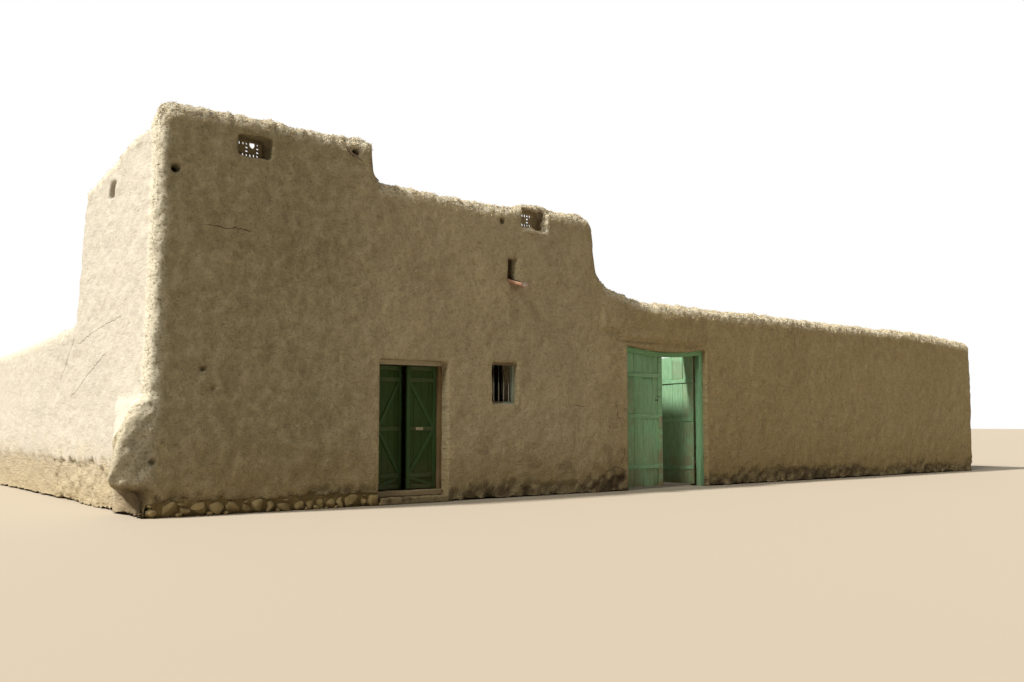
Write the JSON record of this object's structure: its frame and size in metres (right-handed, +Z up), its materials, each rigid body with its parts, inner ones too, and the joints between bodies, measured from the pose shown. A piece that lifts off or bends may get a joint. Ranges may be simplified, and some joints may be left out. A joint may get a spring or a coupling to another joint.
{
  "type": "adobe house",
  "caption": "Mud-walled village house with a flat roof behind stepped parapets, joined to a walled yard with a double gate.",
  "frame": {"origin": "middle of the whole outline, on the ground", "axes": "+X along the front to the right as seen from outside, +Y from the front into the yard, +Z up"},
  "size_m": [20.83, 9.36, 5.3838],
  "materials": {
    "mud_plaster": "rough straw and mud plaster",
    "clay_lattice": "rough dry clay",
    "footing_stone": "rough undressed stone",
    "bare_wood": "weathered bare wood",
    "window_wood": "worn paint on wood",
    "door_wood": "worn dark green paint on wood",
    "gate_wood": "worn light green paint on wood",
    "terracotta": "unglazed fired clay",
    "iron": "dull black iron"
  },
  "bodies": {
    "building": {"tower_front_wall": "mud_plaster", "wall_over_door": "mud_plaster", "middle_front_wall": "mud_plaster", "gate_side_wall": "mud_plaster", "wall_over_gate": "mud_plaster", "yard_front_wall": "mud_plaster", "yard_front_wall_end": "mud_plaster", "left_wall": "mud_plaster", "right_wall": "mud_plaster", "back_wall": "mud_plaster", "corner_foot": "mud_plaster", "earth_floor": "mud_plaster", "flat_roof": "mud_plaster", "front_lattice": "clay_lattice", "middle_lattice": "clay_lattice", "side_lattice": "clay_lattice", "door_step": "mud_plaster", "yard_left_wall": "mud_plaster", "yard_back_wall": "mud_plaster", "yard_right_wall": "mud_plaster", "stone_footing": "footing_stone", "roof_poles": "bare_wood", "rain_spout": "terracotta", "wall_stick": "bare_wood", "window_frame": "window_wood", "door_threshold": "bare_wood", "door_frame": "bare_wood", "door_pintles": "iron", "gate_frame": "gate_wood", "gate_pintles": "iron"},
    "door_left": {"door_left_leaf": "door_wood"},
    "door_right": {"door_right_leaf": "door_wood"},
    "gate_left": {"gate_left_leaf": "gate_wood"},
    "gate_right": {"gate_right_leaf": "gate_wood"}
  },
  "joints": [
    {"name": "door_left_hinge", "type": "hinge", "parent": "building", "child": "door_left", "pos_m": [-6.56, -4.03, 0], "axis": [0, 0, 1], "range_deg": [-14, 76]},
    {"name": "door_right_hinge", "type": "hinge", "parent": "building", "child": "door_right", "pos_m": [-5.49, -4.03, 0], "axis": [0, 0, -1], "range_deg": [0, 90]},
    {"name": "gate_left_hinge", "type": "hinge", "parent": "building", "child": "gate_left", "pos_m": [-1.482, -4.09, 0], "axis": [0, 0, 1], "range_deg": [0, 88]},
    {"name": "gate_right_hinge", "type": "hinge", "parent": "building", "child": "gate_right", "pos_m": [0.402, -4.09, 0], "axis": [0, 0, -1], "range_deg": [-80, 8]}
  ]
}
